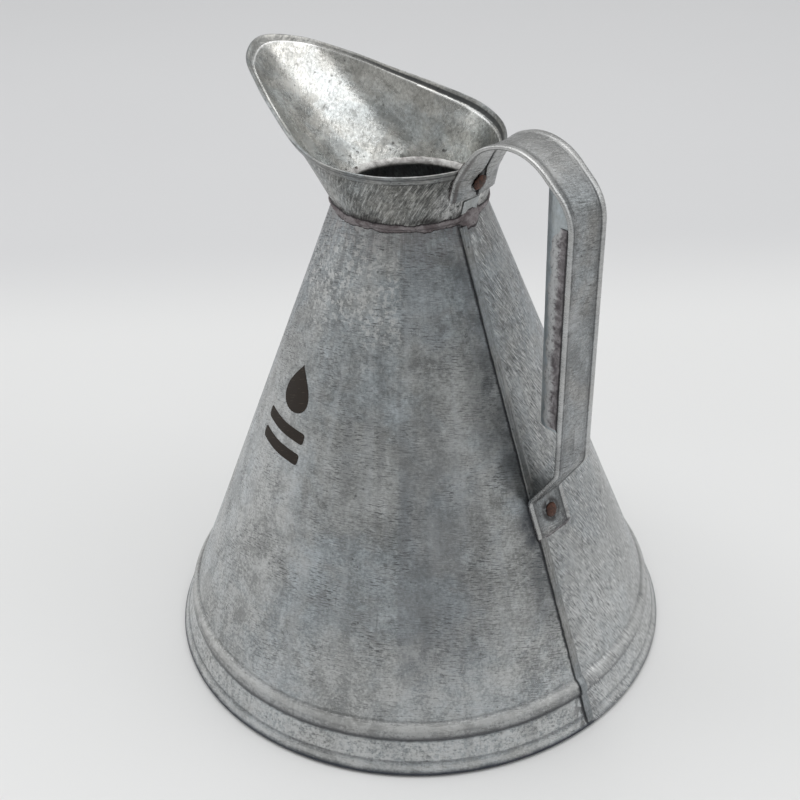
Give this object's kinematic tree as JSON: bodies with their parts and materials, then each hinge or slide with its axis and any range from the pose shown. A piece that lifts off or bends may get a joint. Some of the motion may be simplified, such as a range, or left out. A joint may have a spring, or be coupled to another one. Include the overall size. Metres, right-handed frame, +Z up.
{
  "type": "pouring jug",
  "caption": "Conical galvanised sheet-metal pouring jug with an oblique flared lip, side lock seam, recessed base and riveted, soldered strap handle.",
  "frame": {"origin": "centre of the foot ring, on the floor", "axes": "+Z up along the cone's axis, +X towards the handle, -X towards the pouring lip, plane of symmetry y = 0"},
  "size_m": [0.2402, 0.24, 0.2735],
  "materials": {
    "galvanised_body": "galvanised sheet, blue-grey, satin with fine dark dashes and soft streaks",
    "galvanised_seam": "galvanised folded seam, satin, dark along its edge",
    "galvanised_base": "galvanised sheet, dull",
    "galvanised_spout": "galvanised sheet, streaked outside and mottled bright inside",
    "galvanised_strap": "galvanised sheet, smooth satin with bright edges",
    "steel_wire": "drawn wire, hidden in the hem",
    "solder": "soft solder, mauve-grey, uneven, dark flux lines at its edges",
    "rivet": "steel rivet with dull brown rust"
  },
  "bodies": {
    "root": {"body_shell": "galvanised_body", "side_seam": "galvanised_seam", "seam_solder": "solder", "foot_wire": "steel_wire", "base_plate": "galvanised_base", "base_solder": "solder", "neck_solder_outer": "solder", "neck_solder_inner": "solder", "spout_funnel": "galvanised_spout", "spout_rim_hem": "galvanised_spout", "spout_lap_seam": "galvanised_spout", "handle_strap": "galvanised_strap", "grip_liner": "galvanised_strap", "grip_solder_left": "solder", "grip_solder_right": "solder", "handle_rivets": "rivet", "upper_tab_solder": "solder", "lower_tab_solder": "solder"}
  },
  "joints": []
}
